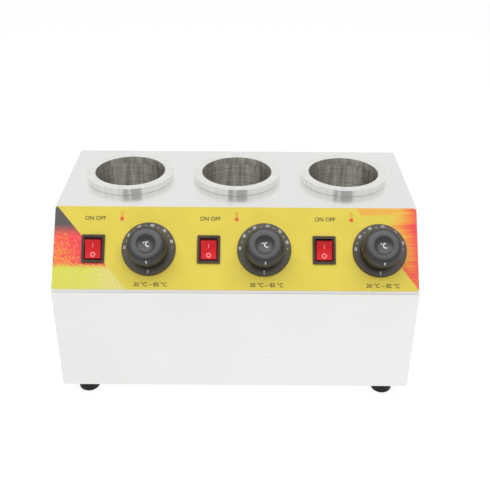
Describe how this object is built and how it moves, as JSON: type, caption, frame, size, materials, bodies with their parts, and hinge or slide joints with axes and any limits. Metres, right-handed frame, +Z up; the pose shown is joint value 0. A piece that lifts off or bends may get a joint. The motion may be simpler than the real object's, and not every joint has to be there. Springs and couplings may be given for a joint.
{
  "type": "sauce bottle warmer",
  "caption": "Countertop warmer for sauce bottles: steel casing with heated round wells in the top and a sloping panel with a rocker switch and a temperature knob for each well.",
  "frame": {"origin": "on the surface that the feet stand on, under the middle of the warmer's overall box", "axes": "+X to the right as the user faces the panel, +Y to the back, +Z up; left and right in node names are the user's"},
  "size_m": [0.4, 0.2258, 0.2272],
  "materials": {
    "stainless_sheet": "satin bright stainless sheet",
    "polished_steel": "turned and polished stainless steel",
    "turned_steel": "spun stainless with fine turning lines",
    "zinc_steel": "bright zinc plate",
    "printed_overlay": "satin yellow printed film",
    "black_plastic": "fine satin moulding",
    "red_plastic": "glossy translucent red moulding",
    "black_rubber": "moulded matt rubber",
    "white_nylon": "natural nylon",
    "phenolic": "brown phenolic moulding",
    "copper": "drawn copper",
    "glass_sleeve": "braided glass fibre sleeve"
  },
  "bodies": {
    "casing": {"casing_shell": "stainless_sheet", "left_side_panel": "stainless_sheet", "right_side_panel": "stainless_sheet", "base_plate": "stainless_sheet", "control_label": "printed_overlay", "mains_inlet": "black_plastic", "left_inlet_screw": "zinc_steel", "right_inlet_screw": "zinc_steel", "terminal_block": "white_nylon", "earth_stud": "zinc_steel", "supply_loom": "glass_sleeve", "front_left_foot": "black_rubber", "front_left_foot_screw": "zinc_steel", "front_right_foot": "black_rubber", "front_right_foot_screw": "zinc_steel", "back_left_foot": "black_rubber", "back_left_foot_screw": "zinc_steel", "back_right_foot": "black_rubber", "back_right_foot_screw": "zinc_steel", "left_well_rim": "polished_steel", "left_well_cup": "turned_steel", "left_heater_band": "turned_steel", "left_heater_band_screw": "zinc_steel", "left_sensing_bulb": "copper", "left_wiring_loom": "glass_sleeve", "left_dial_ring": "black_plastic", "left_thermostat": "phenolic", "left_switch_housing": "black_plastic", "middle_well_rim": "polished_steel", "middle_well_cup": "turned_steel", "middle_heater_band": "turned_steel", "middle_heater_band_screw": "zinc_steel", "middle_sensing_bulb": "copper", "middle_wiring_loom": "glass_sleeve", "middle_dial_ring": "black_plastic", "middle_thermostat": "phenolic", "middle_switch_housing": "black_plastic", "right_well_rim": "polished_steel", "right_well_cup": "turned_steel", "right_heater_band": "turned_steel", "right_heater_band_screw": "zinc_steel", "right_sensing_bulb": "copper", "right_wiring_loom": "glass_sleeve", "right_dial_ring": "black_plastic", "right_thermostat": "phenolic", "right_switch_housing": "black_plastic"},
    "left_temperature_knob": {"left_knob": "black_plastic", "left_thermostat_spindle": "zinc_steel"},
    "left_power_rocker": {"left_switch_rocker": "red_plastic"},
    "middle_temperature_knob": {"middle_knob": "black_plastic", "middle_thermostat_spindle": "zinc_steel"},
    "middle_power_rocker": {"middle_switch_rocker": "red_plastic"},
    "right_temperature_knob": {"right_knob": "black_plastic", "right_thermostat_spindle": "zinc_steel"},
    "right_power_rocker": {"right_switch_rocker": "red_plastic"}
  },
  "joints": [
    {"name": "left_knob_turn", "type": "hinge", "parent": "casing", "child": "left_temperature_knob", "pos_m": [-0.095, -0.08088, 0.18266], "axis": [0, 0.7596, -0.6504], "range_deg": [0, 267.5]},
    {"name": "left_rocker_tilt", "type": "hinge", "parent": "casing", "child": "left_power_rocker", "pos_m": [-0.1555, -0.08134, 0.18305], "axis": [-1, 0, 0], "range_deg": [0, 20]},
    {"name": "middle_knob_turn", "type": "hinge", "parent": "casing", "child": "middle_temperature_knob", "pos_m": [0.031, -0.08088, 0.18266], "axis": [0, 0.7596, -0.6504], "range_deg": [0, 267.5]},
    {"name": "middle_rocker_tilt", "type": "hinge", "parent": "casing", "child": "middle_power_rocker", "pos_m": [-0.0295, -0.08134, 0.18305], "axis": [-1, 0, 0], "range_deg": [0, 20]},
    {"name": "right_knob_turn", "type": "hinge", "parent": "casing", "child": "right_temperature_knob", "pos_m": [0.157, -0.08088, 0.18266], "axis": [0, 0.7596, -0.6504], "range_deg": [0, 267.5]},
    {"name": "right_rocker_tilt", "type": "hinge", "parent": "casing", "child": "right_power_rocker", "pos_m": [0.0965, -0.08134, 0.18305], "axis": [-1, 0, 0], "range_deg": [0, 20]}
  ]
}
